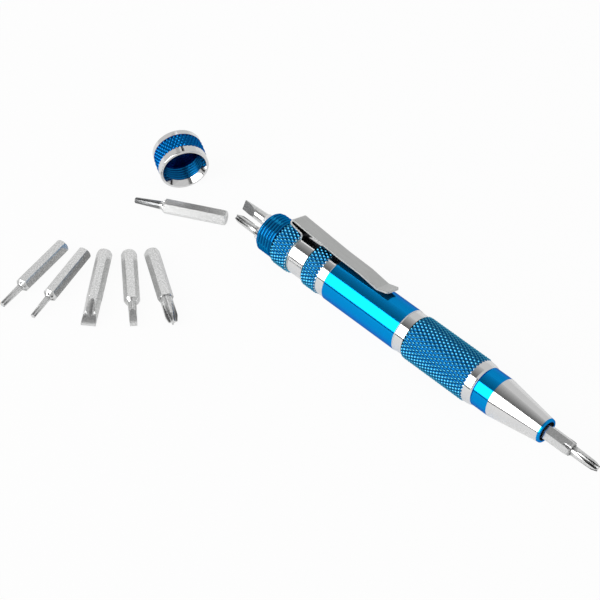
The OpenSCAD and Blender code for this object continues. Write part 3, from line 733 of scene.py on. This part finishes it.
def graded_glow():
    """Overhead card, black at its near edge and fading to pale: it gives polished metal its dark
    band."""
    material, tree = new_material("graded_card")
    place = add(tree, "ShaderNodeTexCoord")
    across = add(tree, "ShaderNodeSeparateXYZ", {"Vector": place.outputs["Generated"]})
    slow = add(tree, "ShaderNodeMath", {0: across.outputs["Y"], 1: 1.2}, operation="POWER")
    fade = add(tree, "ShaderNodeMapRange", {
        "Value": slow.outputs[0], "To Min": 0.09, "To Max": 0.52})
    glow = add(tree, "ShaderNodeEmission", {
        "Color": linear(WHITE), "Strength": fade.outputs[0]})
    add(tree, "ShaderNodeOutputMaterial", {"Surface": glow.outputs[0]})
    return material


def even_glow(name, shade, strength):
    """A card with an even glow: white ones brighten an edge in polished metal, and black ones draw
    a dark line or spot."""
    material, tree = new_material(name)
    glow = add(tree, "ShaderNodeEmission", {"Color": linear(shade), "Strength": strength})
    add(tree, "ShaderNodeOutputMaterial", {"Surface": glow.outputs[0]})
    return material


def staged(name, corners, material):
    """A flat four-cornered thing that is no piece of the object."""
    mesh = bpy.data.meshes.new(name)
    mesh.from_pydata(corners, [], [(0, 1, 2, 3)])
    mesh.materials.append(material)
    thing = bpy.data.objects.new(name, mesh)
    bpy.context.scene.collection.objects.link(thing)
    return thing


def floor():
    """White paper under everything."""
    half, level = 3.0, FLOOR_Z * MM
    staged("floor", [(-half, -half, level), (half, -half, level), (half, half, level),
                     (-half, half, level)], white_paper())


def at_angle(distance, degrees, x):
    """A point beside the driver at an angle over the near horizon, seen along the driver."""
    a = math.radians(degrees)
    return (x, -distance * math.cos(a), distance * math.sin(a))


def card(name, material, centre, facing, half_x, half_up):
    """A flat card, its long edges along X, turned to face a point. Only reflections show it."""
    along = Vector((1, 0, 0))
    rise = (Vector(facing) - Vector(centre)).normalized().cross(along).normalized()
    corners = [Vector(centre) + along * half_x * a + rise * half_up * b
               for a, b in ((-1, -1), (1, -1), (1, 1), (-1, 1))]
    staged(name, corners, material).visible_camera = False


def near_softbox():
    """Softbox on the near side, from just over the horizon up to the overhead card."""
    middle = (SOFTBOX_LOW + SOFTBOX_HIGH) / 2
    spread = math.radians((SOFTBOX_HIGH - SOFTBOX_LOW) / 2)
    box_w, box_h, radiance = 1.3, 2 * STUDIO_R * math.tan(spread), 3.0
    lamp = bpy.data.lights.new("near_softbox", "AREA")
    lamp.shape = "RECTANGLE"
    lamp.size, lamp.size_y = box_w, box_h
    lamp.energy = radiance * math.pi * box_w * box_h
    softbox = bpy.data.objects.new("near_softbox", lamp)
    where = Vector(at_angle(STUDIO_R, middle, x=-0.43))
    back = (where - Vector((where.x, 0, 0))).normalized()
    right = Vector((1, 0, 0))
    turned = Matrix((right, back.cross(right), back)).transposed().to_4x4()
    softbox.matrix_world = Matrix.Translation(where) @ turned
    bpy.context.scene.collection.objects.link(softbox)


def cards():
    """Cards that the polished metal mirrors."""
    black = even_glow("black_card", BLACK, 1.0)
    middle = (SOFTBOX_HIGH + OVERHEAD_END) / 2
    spread = math.radians((OVERHEAD_END - SOFTBOX_HIGH) / 2)
    card("overhead_card", graded_glow(), at_angle(STUDIO_R, middle, x=-0.6), facing=(-0.6, 0, 0),
         half_x=0.7, half_up=STUDIO_R * math.tan(spread))
    card("low_black_card", black, at_angle(1.1, 4.4, x=-0.5), facing=(-0.5, 0, 0),
         half_x=0.6, half_up=0.05)
    card("far_white_card", even_glow("white_card", WHITE, 0.75),
         at_angle(STUDIO_R, 174.5, x=-0.6), facing=(-0.6, 0, 0), half_x=1.0, half_up=0.06)

    # Small bounce card over the laid-out bits, which whitens their upper flats and the cap's rings
    card("bounce_card", even_glow("bounce_card", WHITE, 0.95), (-0.29, 0.2, 0.38),
         facing=(-0.04, -0.03, 0.0), half_x=0.08, half_up=0.08)

    # Black flag beside the cap, which darkens the upper flat of the bit that lies there
    card("flag_card", black, (-0.0863, 0.0434, 0.0788), facing=(-0.0338, -0.0091, -0.0028),
         half_x=0.016, half_up=0.009)

    # The dark room behind the camera, which shows as small dark spots in the polished edges
    card("dark_room_card", black, (0.42, -0.41, 0.61), facing=(0.0, 0.0, 0.0),
         half_x=0.14, half_up=0.14)


def pale_surround():
    """Even pale light from all round."""
    world = bpy.data.worlds.new("pale_surround")
    world.use_nodes = True
    world.node_tree.nodes.clear()
    sky = add(world.node_tree, "ShaderNodeBackground", {"Color": linear(WHITE), "Strength": 0.6})
    add(world.node_tree, "ShaderNodeOutputWorld", {"Surface": sky.outputs[0]})
    bpy.context.scene.world = world


def camera():
    """Camera at the photograph's viewing angle."""
    scene = bpy.context.scene
    view = bpy.data.cameras.new("camera")
    view.lens, view.sensor_width = 146.0, 36.0
    view.clip_start, view.clip_end = 0.01, 20
    eye = bpy.data.objects.new("camera", view)
    stand, target = Vector((343.2, -336.8, 502.75)) * MM, Vector((14.9, -8.6, FLOOR_Z)) * MM
    eye.location = stand
    eye.rotation_euler = (target - stand).to_track_quat("-Z", "Y").to_euler()
    scene.collection.objects.link(eye)
    scene.camera = eye
    scene.view_settings.view_transform = "Standard"


floor()
near_softbox()
cards()
pale_surround()
camera()
